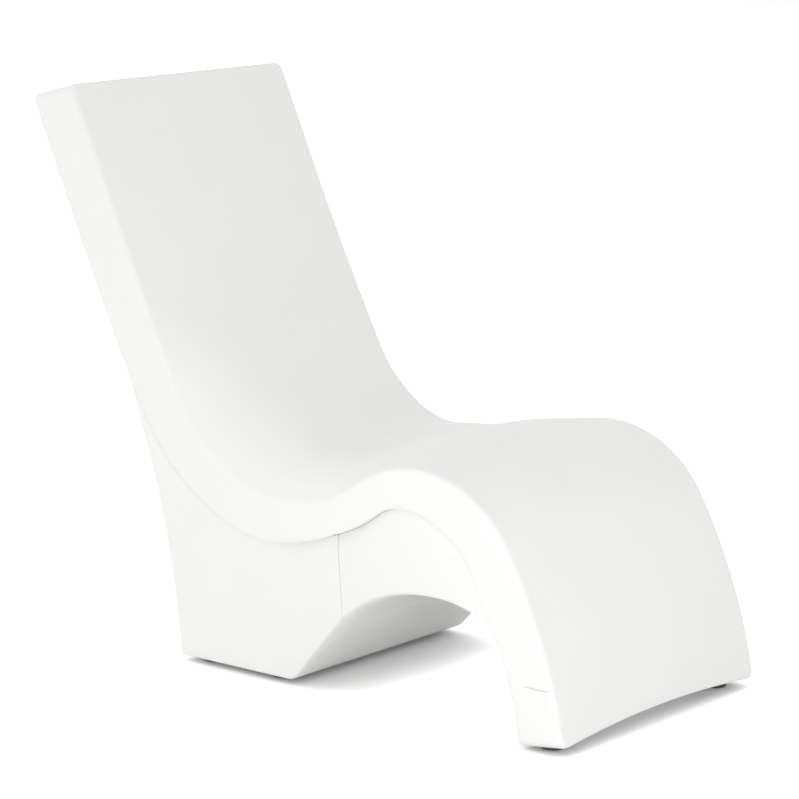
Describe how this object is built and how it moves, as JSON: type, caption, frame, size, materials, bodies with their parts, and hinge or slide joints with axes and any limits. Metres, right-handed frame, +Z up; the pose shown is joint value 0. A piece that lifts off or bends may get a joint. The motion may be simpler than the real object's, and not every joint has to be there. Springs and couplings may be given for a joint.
{
  "type": "spa lounger",
  "caption": "Moulded plastic wave lounger: a hollow S-shaped slab on a water-ballasted pedestal, with an arched web under the knees.",
  "frame": {"origin": "on the floor, under the middle of the whole length and width", "axes": "X is the width, the feet point to -Y, the head to +Y, +Z is up"},
  "size_m": [0.6, 1.2642, 1.0874],
  "materials": {
    "shell": "satin, fine moulded texture",
    "caps": "satin",
    "plugs": "satin",
    "bushes": "satin",
    "gaskets": "matt",
    "pads": "matt",
    "fasteners": "stainless, as turned",
    "inserts": "knurled"
  },
  "bodies": {
    "chair": {"lounge_shell": "shell", "pedestal_shell": "shell", "arch_shell": "shell", "pedestal_bolts": "fasteners", "pedestal_washers": "fasteners", "pedestal_inserts": "inserts", "arch_bolts": "fasteners", "arch_washers": "fasteners", "arch_inserts": "inserts", "pedestal_tunnel_caps": "caps", "arch_tunnel_caps": "caps", "fill_bush": "bushes", "drain_bush": "bushes", "slab_vent_plug": "caps", "arch_vent_plug": "caps", "pedestal_pads": "pads", "toe_pads": "pads", "pad_screws": "fasteners", "pad_inserts": "inserts"},
    "fill_seal": {"fill_gasket": "gaskets"},
    "fill_cap": {"fill_plug": "plugs"},
    "drain_seal": {"drain_gasket": "gaskets"},
    "drain_cap": {"drain_plug": "plugs"}
  },
  "joints": [
    {"name": "fill_plug_out", "type": "slide", "parent": "chair", "child": "fill_seal", "axis": [0, 1, 0], "range_m": [0, 0.024]},
    {"name": "fill_plug_turn", "type": "hinge", "parent": "fill_seal", "child": "fill_cap", "pos_m": [0, 0.31103, 0.336], "axis": [0, 1, 0], "range_deg": [0, 2880]},
    {"name": "drain_plug_out", "type": "slide", "parent": "chair", "child": "drain_seal", "axis": [0, 1, 0], "range_m": [0, 0.024]},
    {"name": "drain_plug_turn", "type": "hinge", "parent": "drain_seal", "child": "drain_cap", "pos_m": [0, 0.29125, 0.07], "axis": [0, 1, 0], "range_deg": [0, 2880]}
  ],
  "couplings": [
    {"joint": "fill_plug_turn", "follows": "fill_plug_out", "rad_per_m": 2094.4},
    {"joint": "drain_plug_turn", "follows": "drain_plug_out", "rad_per_m": 2094.4}
  ]
}
